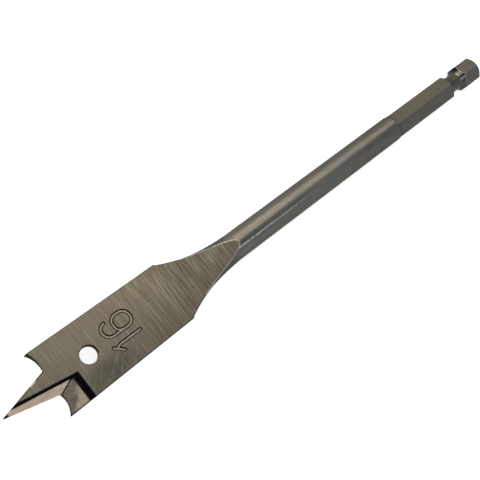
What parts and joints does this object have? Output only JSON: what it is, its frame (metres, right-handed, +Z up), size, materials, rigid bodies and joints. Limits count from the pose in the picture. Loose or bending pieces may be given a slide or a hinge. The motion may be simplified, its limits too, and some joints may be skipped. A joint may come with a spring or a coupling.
{
  "type": "spade drill bit",
  "caption": "Flat spade bit for boring wood: a ground blade with a centre point, spurs and hanging hole, a round shaft and a hexagonal quick-change shank.",
  "frame": {"origin": "on the floor under the middle of the bit, which lies on its shaft and one edge of the blade", "axes": "+X along the bit's axis from the tip to the shank, +Z up from the floor; the blade leans down towards -Y"},
  "size_m": [0.152, 0.0158, 0.0068],
  "materials": {
    "tool_steel": "ground blade, darker oxidised shaft and shank"
  },
  "bodies": {
    "root": {"spade_bit": "tool_steel"}
  },
  "joints": []
}
